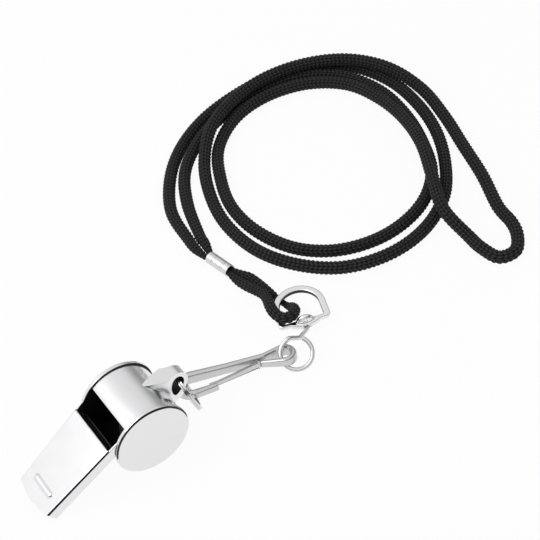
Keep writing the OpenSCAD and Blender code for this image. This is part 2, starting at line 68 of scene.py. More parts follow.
# The cord's route in metres, from the ferrule round the whole loop and back
LANYARD_ROUTE = [
    (0.0547, 0.0363, 0.0018), (0.0539, 0.0403, 0.0018), (0.0535, 0.0427, 0.0017),
    (0.0532, 0.0462, 0.0017), (0.0535, 0.05, 0.0017), (0.0555, 0.063, 0.0017),
    (0.0625, 0.075, 0.0017), (0.072, 0.084, 0.0017), (0.084, 0.09, 0.0017),
    (0.0975, 0.0925, 0.0017), (0.1105, 0.092, 0.0017), (0.123, 0.0875, 0.0017),
    (0.1325, 0.078, 0.0017), (0.137, 0.0655, 0.0017), (0.137, 0.052, 0.0017),
    (0.134, 0.039, 0.0017), (0.128, 0.027, 0.0017), (0.1195, 0.0165, 0.0017),
    (0.108, 0.01, 0.0017), (0.095, 0.0085, 0.0017), (0.082, 0.0125, 0.0017),
    (0.0725, 0.0215, 0.0017), (0.0665, 0.0335, 0.0017), (0.065, 0.047, 0.0018),
    (0.0675, 0.06, 0.0018), (0.073, 0.072, 0.0032), (0.082, 0.0815, 0.0055),
    (0.094, 0.0875, 0.0054), (0.107, 0.089, 0.0055), (0.12, 0.086, 0.0054),
    (0.131, 0.0785, 0.0055), (0.138, 0.067, 0.0054), (0.141, 0.0545, 0.0033),
    (0.1395, 0.0415, 0.0019), (0.136, 0.0285, 0.0018), (0.1325, 0.0155, 0.0018),
    (0.128, 0.003, 0.0018), (0.127, -0.004, 0.0018), (0.125, -0.009, 0.0018),
    (0.121, -0.013, 0.0018), (0.116, -0.012, 0.0019), (0.1145, -0.0065, 0.002),
    (0.1145, -0.001, 0.0021), (0.114, 0.01, 0.0052), (0.1195, 0.022, 0.0058),
    (0.125, 0.034, 0.0058), (0.128, 0.0465, 0.0052), (0.1285, 0.0595, 0.0039),
    (0.1255, 0.072, 0.0028), (0.1165, 0.081, 0.0024), (0.104, 0.085, 0.0022),
    (0.0915, 0.0835, 0.002), (0.0805, 0.076, 0.0019), (0.074, 0.065, 0.0018),
    (0.07, 0.0525, 0.0018), (0.0705, 0.0395, 0.0017), (0.0755, 0.027, 0.0017),
    (0.085, 0.0185, 0.0017), (0.098, 0.015, 0.0017), (0.1115, 0.0175, 0.0017),
    (0.122, 0.0255, 0.0017), (0.128, 0.0375, 0.0017), (0.1315, 0.0505, 0.0017),
    (0.132, 0.064, 0.0017), (0.1275, 0.0765, 0.0017), (0.1175, 0.0855, 0.0017),
    (0.104, 0.0885, 0.0017), (0.0905, 0.0875, 0.0017), (0.078, 0.083, 0.0017),
    (0.0675, 0.0745, 0.0017), (0.061, 0.063, 0.0017), (0.057, 0.05, 0.0017),
    (0.0564, 0.0462, 0.0017), (0.0557, 0.0427, 0.0017), (0.0553, 0.0405, 0.0018),
    (0.0561, 0.0365, 0.0018)]
# Shares of the cord's radius at its first and last points, where the ferrule squeezes it
END_SHARES = [0.44, 0.44, 0.62, 0.92, 1.0]

# The bight from the ferrule under the loop's bar, round inside it and back over the bar
BIGHT_ROUTE = [
    (0.0561, 0.0365, 0.0018), (0.0569, 0.0325, 0.0018), (0.0579, 0.0299, 0.0017),
    (0.0591, 0.027, 0.00165), (0.0597, 0.024, 0.0016), (0.0601, 0.021, 0.0015),
    (0.0605, 0.018, 0.00135), (0.061, 0.0158, 0.00105), (0.0614, 0.0136, 0.00095),
    (0.0617, 0.0116, 0.0013), (0.0617, 0.0092, 0.0029), (0.0609, 0.0067, 0.0045),
    (0.0586, 0.0051, 0.0054), (0.0564, 0.006, 0.0056), (0.0558, 0.0088, 0.0056),
    (0.0563, 0.0116, 0.0054), (0.0573, 0.0146, 0.0046), (0.0579, 0.0176, 0.0037),
    (0.0574, 0.0208, 0.0029), (0.0566, 0.024, 0.0023), (0.056, 0.0272, 0.0019),
    (0.0556, 0.0299, 0.0018), (0.0555, 0.0323, 0.0018), (0.0547, 0.0363, 0.0018)]
BIGHT_SHARES = [
    0.44, 0.44, 0.64, 0.88, 0.88, 0.88, 0.79, 0.58, 0.52, 0.64, 0.91, 0.97,
    0.97, 0.97, 0.97, 0.97, 0.91, 0.91, 0.88, 0.88, 0.85, 0.64, 0.44, 0.44]

# The whistle's sheets, and the other steel pieces with the finish that each takes
WHISTLE_SHEETS = ("barrel_wrap", "mouthpiece_cover", "side_cap_near", "side_cap_far", "ear")
CHAIN = {"split_ring": "drawn_wire", "clip_hook": "clip_strip", "clip_gate": "clip_strip",
         "swivel_eye": "drawn_wire", "d_ring": "bright_nickel", "ferrule": "crimped_sheet"}
SOUND_WINDOW = next(opening["box_m"] for opening in frame["record"]["physics"]["openings"]
                    if opening["name"] == "sound_window")

# Plated finishes: share of the nickel's brightness, roughness, smudge, bump, scratch scale
PLATED = {
    "bright_nickel": (1.0, 0.16, 0.12, 0.02, 3000.0),
    "cap_nickel": (1.0, 0.24, 0.03, 0.0, 3000.0),
    "drawn_wire": (0.84, 0.12, 0.1, 0.03, 4000.0),
    "clip_strip": (0.74, 0.2, 0.14, 0.05, 4000.0),
    "crimped_sheet": (0.86, 0.3, 0.12, 0.06, 3000.0),
    # near-black nickel: a painted dark reflection on the near rims and folds, and painted shade on
    # the loop's inner wall
    "painted_shade_nickel": (0.05, 0.3, 0.12, 0.02, 3000.0),
}
PAINTED_CHAMBER_SHADE, PAINTED_RIM_REFLECTION = 1, 2           # material slots on the whistle's sheets, after the finish itself: the painted chamber shade, then the painted dark reflection on the rims
LOOP_PAINTED_SHADE = 1               # material slot of the painted shade on the loop's inner wall

RAY_START = 0.02 * MM       # a ray starts this far off its face
RAY_REACH = 25 * MM         # and looks this far for another wall
RIM_AT = -4.5 * MM          # the near side's folds and rims lie nearer than this
RIM_TURN = (-0.96, -0.3)    # the part of a round that takes the painted dark reflection, by its normal
RIM_UP = 0.05
LOOP_HOLE = 3 * MM          # walls further than this from the loop's middle are its arch
LOOP_STEEP = 0.5            # a wall's normal rises less than this
LOOP_INWARD = -0.6          # and points to the middle by more than this
COAT_START = 0.15 * MM      # a coat is nothing at this distance from a neighbour
COAT_RISE = 1.0 * MM        # and whole this much further away

KEY_AT = Vector((-0.25, 0.1, 0.45))
KEY_AIM = Vector((0.05, 0.03, 0.0))
KEY_SIZE = 0.35
FLOOR_REACH = 3.0
FLOOR_GLOW = 0.88           # share of plain white that metal mirrors in the floor
FLOOR_CLEAR = 0.94          # share of the floor that the camera sees through

BODY_OF = {node: body for body, nodes in frame["record"]["behaviour"]["bodies"].items()
           for node in nodes}


class WhistleSizes(bpy.types.PropertyGroup):
    sheet_edge: bpy.props.FloatProperty(
        name="Sheet edge", description="Width of the round on the whistle's folded edges",
        default=0.12 * MM, unit="LENGTH")
    cap_edge: bpy.props.FloatProperty(
        name="Cap edge", description="Width of the round on the side caps' rims",
        default=0.12 * MM, unit="LENGTH")
    clip_edge: bpy.props.FloatProperty(
        name="Clip edge", description="Width of the round on the clip's strip",
        default=0.26 * MM, unit="LENGTH")
    loop_edge: bpy.props.FloatProperty(
        name="Loop edge", description="Width of the round on the strip D loop",
        default=0.34 * MM, unit="LENGTH")
    fold_angle: bpy.props.FloatProperty(
        name="Fold angle", description="Steepest fold that still shades smooth",
        default=radians(32), subtype="ANGLE")
    swivel_coat: bpy.props.FloatProperty(
        name="Swivel coat", description="Thickness that fills out the swivel's wire",
        default=0.14 * MM, unit="LENGTH")
    clip_coat: bpy.props.FloatProperty(
        name="Clip coat", description="Thickness that fills out the clip's bar",
        default=0.4 * MM, unit="LENGTH")
    nickel: bpy.props.FloatVectorProperty(
        name="Nickel", description="Colour of the bright plating", subtype="COLOR",
        size=3, default=(0.83, 0.83, 0.84))
    # painted shade: the colour that stands in for the shade in the chamber
    inside: bpy.props.FloatVectorProperty(
        name="Inside", description="Colour of the unpolished metal in the chamber",
        subtype="COLOR", size=3, default=(0.03, 0.03, 0.032))
    cork: bpy.props.FloatVectorProperty(
        name="Cork", description="Colour of the cork pea", subtype="COLOR",
        size=3, default=(0.05, 0.028, 0.014))
    cork_pits: bpy.props.FloatProperty(
        name="Cork pits", description="Depth of the pits in the cork pea",
        default=0.12 * MM, unit="LENGTH")


class CordSizes(bpy.types.PropertyGroup):
    thickness: bpy.props.FloatProperty(
        name="Thickness", description="Diameter of the knitted cord",
        default=3.3 * MM, unit="LENGTH")
    slack: bpy.props.FloatProperty(
        name="Slack", description="Share by which the knit swells where nothing squeezes it",
        default=1.13)
    stitch: bpy.props.FloatProperty(
        name="Stitch", description="Length of one knitted stitch",
        default=1.3 * MM, unit="LENGTH")
    wales: bpy.props.IntProperty(
        name="Wales", description="Columns of stitches round the cord", default=6)
    relief: bpy.props.FloatProperty(
        name="Relief", description="Height of a stitch over the gaps beside it",
        default=0.3 * MM, unit="LENGTH")
    yarn: bpy.props.FloatVectorProperty(
        name="Yarn", description="Colour of the yarn where light falls on it",
        subtype="COLOR", size=3, default=(0.042, 0.042, 0.044))
    # painted shade: the colour that stands in for the shade between the stitches
    gap: bpy.props.FloatVectorProperty(
        name="Gap", description="Colour between the stitches",
        subtype="COLOR", size=3, default=(0.0015, 0.0015, 0.0015))


class StudioSizes(bpy.types.PropertyGroup):
    camera_at: bpy.props.FloatVectorProperty(
        name="Camera", description="Place of the camera", subtype="TRANSLATION",
        size=3, default=(-0.0635, -0.2384, 0.3277))
    camera_turn: bpy.props.FloatVectorProperty(
        name="Turn", description="Turn of the camera", subtype="EULER", size=3,
        default=(radians(41.486), radians(7.221), radians(-34.063)))
    lens: bpy.props.FloatProperty(
        name="Lens", description="Focal length in millimetres on a 36 mm sensor",
        default=104.97)
    light: bpy.props.FloatProperty(
        name="Light", description="Strength of the surrounding light", default=0.62)
    key_power: bpy.props.FloatProperty(
        name="Key lamp", description="Power of the large lamp on the left",
        default=1.1, unit="POWER")
    dark_front: bpy.props.FloatProperty(
        name="Dark front", description="Brightness of the low band that metal mirrors in front",
        default=0.02)
    dark_back: bpy.props.FloatProperty(
        name="Dark back", description="Brightness of the low band that metal mirrors behind",
        default=0.32)


# ---- Node helpers ----

def add(tree, kind, links=None, **values):
    """A node of one kind, with its properties set and its inputs linked or given."""
    node = tree.nodes.new(kind)
    for key, value in values.items():
        setattr(node, key, value)
    for key, source in (links or {}).items():
        socket = node.inputs[key]
        if isinstance(source, bpy.types.NodeSocket):
            tree.links.new(source, socket)
        else:
            socket.default_value = source
    return node


def maths(tree, operation, a, b=0.0, c=0.0):
    return add(tree, "ShaderNodeMath", {0: a, 1: b, 2: c}, operation=operation).outputs[0]


def span(tree, value, start, stop, first=0.0, last=1.0, smooth=False):
    """Maps a value between start and stop to one between first and last."""
    kind = "SMOOTHSTEP" if smooth else "LINEAR"
    return add(tree, "ShaderNodeMapRange", {0: value, 1: start, 2: stop, 3: first, 4: last},
               interpolation_type=kind).outputs[0]


def two_tones(tree, value, low, high, low_at=0.0, high_at=1.0):
    """A colour ramp from one colour to another."""
    ramp = add(tree, "ShaderNodeValToRGB", {0: value})
    for stop, color, at in zip(ramp.color_ramp.elements, (low, high), (low_at, high_at)):
        stop.color = (*color, 1.0)
        stop.position = at
    return ramp.outputs[0]


def new_material(name):
    """A material with nodes, with its tree and its shader."""
    material = bpy.data.materials.new(name)
    material.use_nodes = True
    return material, material.node_tree, material.node_tree.nodes["Principled BSDF"]


def shader_group(name, inputs, outputs):
    """An empty shader node group with named float inputs and outputs."""
    group = bpy.data.node_groups.new(name, "ShaderNodeTree")
    for label, default in inputs:
        socket = group.interface.new_socket(
            label, in_out="INPUT", socket_type="NodeSocketFloat")
        socket.default_value = default
    for label, kind in outputs:
        group.interface.new_socket(label, in_out="OUTPUT", socket_type=kind)
    given = group.nodes.new("NodeGroupInput").outputs
    return group, given, group.nodes.new("NodeGroupOutput").inputs


def handling_marks():
    """Fine scratches and finger smudges, shared by every plated metal."""
    group, given, out = shader_group(
        "handling_marks",
        [("Roughness", 0.1), ("Smudge", 0.08), ("Scratch scale", 3000.0), ("Smudge scale", 160.0)],
        [("Roughness", "NodeSocketFloat"), ("Height", "NodeSocketFloat")])
    place = add(group, "ShaderNodeTexCoord").outputs["Object"]
    smudge = add(group, "ShaderNodeTexNoise", {
        "Vector": place, "Scale": given["Smudge scale"], "Detail": 4.0, "Roughness": 0.6})
    drawn = add(group, "ShaderNodeMapping", {"Vector": place, "Scale": (1.0, 0.08, 1.0)})
    scratch = add(group, "ShaderNodeTexNoise", {
        "Vector": drawn.outputs[0], "Scale": given["Scratch scale"], "Detail": 3.0})
    spread = maths(group, "MULTIPLY", smudge.outputs[0], given["Smudge"])
    group.links.new(maths(group, "ADD", spread, given["Roughness"]), out["Roughness"])
    group.links.new(maths(group, "MULTIPLY_ADD", scratch.outputs[0], 0.5, spread), out["Height"])


def plated_metal(name, color, roughness, smudge, bump, scratch_scale):
    """Bright plated steel with handling marks in its roughness and a faint bump."""
    _, tree, shader = new_material(name)
    shader.inputs["Metallic"].default_value = 1.0
    marks = tree.nodes.new("ShaderNodeGroup")
    marks.node_tree = bpy.data.node_groups["handling_marks"]
    marks.inputs["Roughness"].default_value = roughness
    marks.inputs["Smudge"].default_value = smudge
    marks.inputs["Scratch scale"].default_value = scratch_scale
    tint = add(tree, "ShaderNodeMix", {
        0: marks.outputs["Height"], 6: (*color, 1.0),
        7: (*[c * 0.97 for c in color], 1.0)}, data_type="RGBA")
    tree.links.new(tint.outputs[2], shader.inputs["Base Color"])
    tree.links.new(marks.outputs["Roughness"], shader.inputs["Roughness"])
    relief = add(tree, "ShaderNodeBump", {
        "Height": marks.outputs["Height"], "Strength": bump, "Distance": 0.0001})
    tree.links.new(relief.outputs[0], shader.inputs["Normal"])


def chamber_painted_shade(color):
    """Painted shade in the barrel and the mouthpiece: dark metal with a noisy tone."""
    _, tree, shader = new_material("chamber_painted_shade")
    shader.inputs["Metallic"].default_value = 0.6
    place = add(tree, "ShaderNodeTexCoord").outputs["Object"]
    shade_noise = add(tree, "ShaderNodeTexNoise", {"Vector": place, "Scale": 300.0, "Detail": 5.0})
    tone = two_tones(tree, shade_noise.outputs[0], [c * 0.5 for c in color], [c * 1.6 for c in color])
    tree.links.new(tone, shader.inputs["Base Color"])
    tree.links.new(span(tree, shade_noise.outputs[0], 0.0, 1.0, 0.35, 0.6), shader.inputs["Roughness"])


def cork_material(color):
    """Cork: speckled brown with dark pits."""
    _, tree, shader = new_material("cork_pea")
    place = add(tree, "ShaderNodeTexCoord").outputs["Object"]
    grain = add(tree, "ShaderNodeTexVoronoi", {"Vector": place, "Scale": 900.0})
    patch = add(tree, "ShaderNodeTexNoise", {"Vector": place, "Scale": 500.0, "Detail": 6.0})
    blend = maths(tree, "MULTIPLY", grain.outputs["Distance"], patch.outputs[0])
    tone = two_tones(tree, blend, [c * 0.3 for c in color], color, 0.05, 0.3)
    tree.links.new(tone, shader.inputs["Base Color"])
    shader.inputs["Roughness"].default_value = 0.85
    relief = add(tree, "ShaderNodeBump", {"Height": blend, "Strength": 0.6, "Distance": 0.0002})
    tree.links.new(relief.outputs[0], shader.inputs["Normal"])


def knit_pattern():
    """The height of a stitch from the cord's UV map: two leaning legs that meet in a V."""
    group, given, out = shader_group(
        "knit_pattern", [("Lean", STITCH_LEAN), ("Fuzz scale", 9.0)],
        [("Height", "NodeSocketFloat"), ("Fuzz", "NodeSocketFloat")])
    place = add(group, "ShaderNodeUVMap", uv_map="UVMap").outputs[0]
    parts = add(group, "ShaderNodeSeparateXYZ", {0: place})
    column = maths(group, "FRACT", parts.outputs[1])
    away = maths(group, "ABSOLUTE", maths(group, "SUBTRACT", column, 0.5))
    shift = maths(group, "MULTIPLY", maths(group, "MULTIPLY", away, 2.0), given["Lean"])
    row = maths(group, "FRACT", maths(group, "ADD", parts.outputs[0], shift))
    along = maths(group, "SINE", maths(group, "MULTIPLY", row, pi))
    leg = maths(group, "SINE", maths(group, "MULTIPLY", away, 2.0 * pi))
    height = maths(group, "MULTIPLY", maths(group, "POWER", along, 0.7),
                   maths(group, "POWER", maths(group, "MAXIMUM", leg, 0.001), 0.6))
    group.links.new(height, out["Height"])
    strand = add(group, "ShaderNodeMapping", {"Vector": place, "Scale": (14.0, 3.0, 1.0)})
    fuzz = add(group, "ShaderNodeTexNoise", {
        "Vector": strand.outputs[0], "Scale": given["Fuzz scale"], "Detail": 4.0})
    group.links.new(fuzz.outputs[0], out["Fuzz"])


def knit_material(yarn, gap):
    """Black yarn, with painted shade between the stitches."""
    _, tree, shader = new_material("knitted_yarn")
    knit = tree.nodes.new("ShaderNodeGroup")
    knit.node_tree = bpy.data.node_groups["knit_pattern"]
    # painted shade: the colour darkens from the yarn's to the gap's where the stitch is low
    tone = maths(tree, "MULTIPLY", knit.outputs["Height"],
                 maths(tree, "MULTIPLY_ADD", knit.outputs["Fuzz"], 0.9, 0.55))
    tree.links.new(two_tones(tree, tone, gap, yarn, 0.3, 0.95), shader.inputs["Base Color"])
    shader.inputs["Roughness"].default_value = 0.8
    shader.inputs["Specular IOR Level"].default_value = 0.2
    shader.inputs["Sheen Weight"].default_value = 0.05
    shader.inputs["Sheen Roughness"].default_value = 0.5
    height = maths(tree, "MULTIPLY_ADD", knit.outputs["Fuzz"], 0.25, knit.outputs["Height"])
    relief = add(tree, "ShaderNodeBump", {"Height": height, "Strength": 0.8, "Distance": 0.0003})
    tree.links.new(relief.outputs[0], shader.inputs["Normal"])


# ---- The knitted cord ----

def smooth_route(points, shares):
    """Points and radius shares on a smooth curve through the route's points."""
    line, sizes = [], []
    last = len(points) - 1
    for i in range(last):
        p = [Vector(points[min(max(i + k, 0), last)]) for k in (-1, 0, 1, 2)]
        if i == 0:
            p[0] = 2 * p[1] - p[2]
        if i == last - 1:
            p[3] = 2 * p[2] - p[1]
        for k in range(ROUTE_STEPS):
            t = k / ROUTE_STEPS
            square = 2 * p[0] - 5 * p[1] + 4 * p[2] - p[3]
            cube = 3 * p[1] - p[0] - 3 * p[2] + p[3]
            line.append(0.5 * (2 * p[1] + (p[2] - p[0]) * t + square * t * t + cube * t ** 3))
            sizes.append(shares[i] + (shares[i + 1] - shares[i]) * t)
    return line + [Vector(points[last])], sizes + [shares[last]]


def knit_tree():
    """Geometry Nodes: sweeps a ring along a curve and raises the knitted stitches on it."""
    tree = bpy.data.node_groups.new("knitted_cord", "GeometryNodeTree")
    face = tree.interface
    face.new_socket("Geometry", in_out="INPUT", socket_type="NodeSocketGeometry")
    for label in ("Thickness", "Stitch", "Relief", "Lean"):
        face.new_socket(label, in_out="INPUT", socket_type="NodeSocketFloat")
    face.new_socket("Wales", in_out="INPUT", socket_type="NodeSocketInt")
    face.new_socket("Yarn", in_out="INPUT", socket_type="NodeSocketMaterial")
    face.new_socket("Geometry", in_out="OUTPUT", socket_type="NodeSocketGeometry")
    given = tree.nodes.new("NodeGroupInput").outputs
    out = tree.nodes.new("NodeGroupOutput").inputs

    rows = add(tree, "GeometryNodeResampleCurve", {
        "Curve": given["Geometry"],
        "Length": maths(tree, "DIVIDE", given["Stitch"], ROWS_PER_STITCH)}, mode="LENGTH")
    along = add(tree, "GeometryNodeSplineParameter").outputs["Length"]
    middle = add(tree, "GeometryNodeInputPosition").outputs[0]
    keep = add(tree, "GeometryNodeCaptureAttribute", {"Geometry": rows.outputs[0]},
               domain="POINT")
    keep.capture_items.new("FLOAT", "along")
    keep.capture_items.new("VECTOR", "middle")
    tree.links.new(along, keep.inputs[1])
    tree.links.new(middle, keep.inputs[2])

    sides = maths(tree, "MULTIPLY_ADD", given["Wales"], SIDES_PER_WALE, 1.0)
    ring = add(tree, "GeometryNodeCurveArc", {
        "Resolution": sides, "Radius": maths(tree, "DIVIDE", given["Thickness"], 2.0),
        "Start Angle": 0.0, "Sweep Angle": 2 * pi})
    around = add(tree, "GeometryNodeSplineParameter").outputs["Factor"]
    keep_ring = add(tree, "GeometryNodeCaptureAttribute", {"Geometry": ring.outputs[0]},
                    domain="POINT")
    keep_ring.capture_items.new("FLOAT", "around")
    tree.links.new(around, keep_ring.inputs[1])

    radius = add(tree, "GeometryNodeInputRadius").outputs[0]
    tube = add(tree, "GeometryNodeCurveToMesh", {
        "Curve": keep.outputs[0], "Profile Curve": keep_ring.outputs[0], "Scale": radius})

    row = maths(tree, "DIVIDE", keep.outputs[1], given["Stitch"])
    column = maths(tree, "MULTIPLY", keep_ring.outputs[1], given["Wales"])
    away = maths(tree, "ABSOLUTE", maths(tree, "SUBTRACT", maths(tree, "FRACT", column), 0.5))
    shift = maths(tree, "MULTIPLY", maths(tree, "MULTIPLY", away, 2.0), given["Lean"])
    wave = maths(tree, "SINE", maths(
        tree, "MULTIPLY", maths(tree, "FRACT", maths(tree, "ADD", row, shift)), pi))
    leg = maths(tree, "SINE", maths(tree, "MULTIPLY", away, 2.0 * pi))
    height = maths(tree, "MULTIPLY", wave, leg)
    drop = maths(tree, "MULTIPLY", maths(tree, "SUBTRACT", height, 0.7), given["Relief"])
    here = add(tree, "GeometryNodeInputPosition").outputs[0]
    outward = add(tree, "ShaderNodeVectorMath", {0: here, 1: keep.outputs[2]},
                  operation="SUBTRACT")
    unit = add(tree, "ShaderNodeVectorMath", {0: outward.outputs[0]}, operation="NORMALIZE")
    push = add(tree, "ShaderNodeVectorMath", {0: unit.outputs[0]}, operation="SCALE")
    tree.links.new(drop, push.inputs["Scale"])
    raised = add(tree, "GeometryNodeSetPosition", {
        "Geometry": tube.outputs[0], "Offset": push.outputs[0]})

    place = add(tree, "ShaderNodeCombineXYZ", {0: row, 1: column})
    mapped = add(tree, "GeometryNodeStoreNamedAttribute", {
        "Geometry": raised.outputs[0], "Name": "UVMap"}, data_type="FLOAT2", domain="CORNER")
    tree.links.new(place.outputs[0], mapped.inputs["Value"])
    joined = add(tree, "GeometryNodeMergeByDistance", {
        "Geometry": mapped.outputs[0], "Distance": MERGE})
    smooth = add(tree, "GeometryNodeSetShadeSmooth", {"Geometry": joined.outputs[0]})
    real = add(tree, "GeometryNodeRealizeInstances", {"Geometry": smooth.outputs[0]})
    dressed = add(tree, "GeometryNodeSetMaterial", {
        "Geometry": real.outputs[0], "Material": given["Yarn"]})
    tree.links.new(dressed.outputs[0], out[0])


def knitted_tube(name, line, sizes, cord):
    """A plain mesh of the knitted cord along a line, made by the knitted_cord tree."""
    curve = bpy.data.curves.new(name + "_line", "CURVE")
    curve.dimensions = "3D"
    spline = curve.splines.new("POLY")
    spline.points.add(len(line) - 1)
    for point, place, size in zip(spline.points, line, sizes):
        point.co = (*place, 1.0)
        point.radius = size
    carrier = bpy.data.objects.new(name + "_line", curve)
    bpy.context.scene.collection.objects.link(carrier)
    tree = bpy.data.node_groups["knitted_cord"]
    modifier = carrier.modifiers.new("knit", "NODES")
    modifier.node_group = tree
    values = {"Thickness": cord.thickness, "Stitch": cord.stitch, "Relief": cord.relief,
              "Lean": STITCH_LEAN, "Wales": cord.wales,
              "Yarn": bpy.data.materials["knitted_yarn"]}
    for item in tree.interface.items_tree:
        if item.in_out == "INPUT" and item.name in values:
            modifier[item.identifier] = values[item.name]
    bpy.context.view_layer.update()
    shape = carrier.evaluated_get(bpy.context.evaluated_depsgraph_get())
    mesh = bpy.data.meshes.new_from_object(shape)
    piece = bpy.data.objects.new(name, mesh)
    bpy.context.scene.collection.objects.link(piece)
    carrier.modifiers.remove(modifier)
    bpy.data.objects.remove(carrier)
    bpy.data.curves.remove(curve)
    return piece


# ---- Metal ----

def merged_copy(node, angle, edge):
    """A copy of a CAD node with joined faces, smooth folds and small rounds on its edges."""
    mesh = frame["nodes"][node].data.copy()
    work = bmesh.new()
    work.from_mesh(mesh)
    bmesh.ops.remove_doubles(work, verts=work.verts, dist=MERGE)
    bmesh.ops.dissolve_limit(work, angle_limit=FLAT, verts=work.verts, edges=work.edges)
    for f in work.faces:
        f.smooth = True
    for e in work.edges:
        e.smooth = len(e.link_faces) == 2 and e.calc_face_angle(0) < angle
    work.to_mesh(mesh)
    work.free()
    mesh.materials.clear()
    piece = bpy.data.objects.new(node + "_plated", mesh)
    bpy.context.scene.collection.objects.link(piece)
    if edge > 0:
        rounding = piece.modifiers.new("rounded edges", "BEVEL")
        rounding.width = edge
        rounding.segments = ROUND_STEPS
        rounding.limit_method = "ANGLE"
        rounding.angle_limit = angle
        rounding.use_clamp_overlap = node in WHISTLE_SHEETS
    evening = piece.modifiers.new("even shading", "WEIGHTED_NORMAL")
    evening.keep_sharp = True
    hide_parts(node)
    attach(piece, BODY_OF[node])
    return piece


def thicken(piece, coat, neighbours):
    """Fills out a wire by a coat that thins away where a neighbour comes near."""
    nearby = search_tree(neighbours)
    for vertex, normal in [(v, v.normal.copy()) for v in piece.data.vertices]:
        room = nearby.find_nearest(vertex.co)[3]
        vertex.co += normal * coat * min(max((room - COAT_START) / COAT_RISE, 0.0), 1.0)


def paint_chamber_shade(piece, walls):
    """Paints shade, with the dark chamber material, on the faces that look at a wall or lie under
    the sound window.
    """
    low, high = SOUND_WINDOW
    for face in piece.data.polygons:
        start = face.center + face.normal * RAY_START
        below = low[0] < start.x < high[0] and abs(start.y) < high[1] and start.z < low[2]
        looks_at_wall = walls.ray_cast(start, face.normal, RAY_REACH)[0] is not None
        if looks_at_wall or (below and face.normal.z > 0):
            face.material_index = PAINTED_CHAMBER_SHADE


def paint_rim_reflections(piece):
    """Paints a dark reflection, with the near-black nickel, on the top of a fold's or a rim's
    round on the near side.
    """
    for face in piece.data.polygons:
        turned = RIM_TURN[0] < face.normal.y < RIM_TURN[1] and face.normal.z > RIM_UP
        if face.center.y < RIM_AT and turned:
            face.material_index = PAINTED_RIM_REFLECTION


def paint_loop_shade(piece):
    """Paints shade, with the near-black nickel, on the loop's inner wall."""
    low, high = (Vector(corner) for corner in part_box("d_ring"))
    middle = (low + high) / 2
    for face in piece.data.polygons:
        away = face.center - middle
        away.z = 0
        wall = abs(face.normal.z) < LOOP_STEEP and away.length > LOOP_HOLE
        if wall and face.normal.dot(away.normalized()) < LOOP_INWARD:
            face.material_index = LOOP_PAINTED_SHADE


def search_tree(nodes):
    """One search tree over the faces of some CAD nodes."""
    corners, faces = [], []
    for node in nodes:
        mesh = frame["nodes"][node].data
        first = len(corners)
        corners += [v.co.copy() for v in mesh.vertices]
        faces += [[first + i for i in f.vertices] for f in mesh.polygons]
    return BVHTree.FromPolygons(corners, faces)


class WHISTLE_OT_materials(bpy.types.Operator):
    """Makes the shared node groups and every finish"""
    bl_idname = "whistle.materials"
    bl_label = "Finishes"

    def execute(self, context):
        whistle, cord = context.scene.whistle_sizes, context.scene.cord_sizes
        handling_marks()
        knit_pattern()
        knit_tree()
        for name, (share, *marks) in PLATED.items():
            plated_metal(name, [c * share for c in whistle.nickel], *marks)
        # dark material for the painted shade in the chamber
        chamber_painted_shade(tuple(whistle.inside))
        cork_material(tuple(whistle.cork))
        # black yarn with painted shade between the stitches
        knit_material(tuple(cord.yarn), tuple(cord.gap))
        return {"FINISHED"}


class WHISTLE_OT_camera(bpy.types.Operator):
    """Places the camera as the photograph was taken"""
    bl_idname = "whistle.camera"
    bl_label = "Camera"

    def execute(self, context):
        studio = context.scene.studio_sizes
        data = bpy.data.cameras.new("photo_camera")
        data.sensor_width = 36.0
        data.lens = studio.lens
        data.clip_start = 0.01
        camera = bpy.data.objects.new("photo_camera", data)
        camera.location = studio.camera_at
        camera.rotation_euler = studio.camera_turn
        context.scene.collection.objects.link(camera)
        context.scene.camera = camera
        return {"FINISHED"}


class WHISTLE_OT_cord(bpy.types.Operator):
    """Makes the knitted neck cord and its bight through the loop"""
    bl_idname = "whistle.cord"
    bl_label = "Neck cord"

    def execute(self, context):
        cord = context.scene.cord_sizes
        middle = [cord.slack] * (len(LANYARD_ROUTE) - 2 * len(END_SHARES))
        lanyard_shares = END_SHARES + middle + END_SHARES[::-1]
        for name, node, route, shares in (
                ("knitted_lanyard", "lanyard_cord", LANYARD_ROUTE, lanyard_shares),
                ("knitted_bight", "cord_bight", BIGHT_ROUTE, BIGHT_SHARES)):
            line, sizes = smooth_route(route, shares)
            piece = knitted_tube(name, line, sizes, cord)
            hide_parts(node)
            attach(piece, "neck_cord")
        return {"FINISHED"}


class WHISTLE_OT_whistle(bpy.types.Operator):
    """Finishes the whistle's bent sheets and side caps, with painted shade in the chamber and
    painted dark reflections on the near rims and folds
    """
    bl_idname = "whistle.whistle"
    bl_label = "Whistle"

    def execute(self, context):
        sizes = context.scene.whistle_sizes
        with_ear = search_tree(WHISTLE_SHEETS)
        chamber = search_tree([node for node in WHISTLE_SHEETS if node != "ear"])
        for node in WHISTLE_SHEETS:
            edge, finish = sizes.sheet_edge, "bright_nickel"
            if node.startswith("side_cap"):
                edge, finish = sizes.cap_edge, "cap_nickel"
            piece = merged_copy(node, sizes.fold_angle, edge)
            # slots: the finish, the dark material for painted chamber shade, the near-black nickel
            # for painted dark reflections
            for name in (finish, "chamber_painted_shade", "painted_shade_nickel"):
                piece.data.materials.append(bpy.data.materials[name])
            # painted shade on faces that look at a wall or lie under the sound window
            paint_chamber_shade(piece, with_ear if node == "ear" else chamber)
            # painted dark reflection lines on the near rims and folds
            if node in ("side_cap_near", "mouthpiece_cover"):
                paint_rim_reflections(piece)
        return {"FINISHED"}


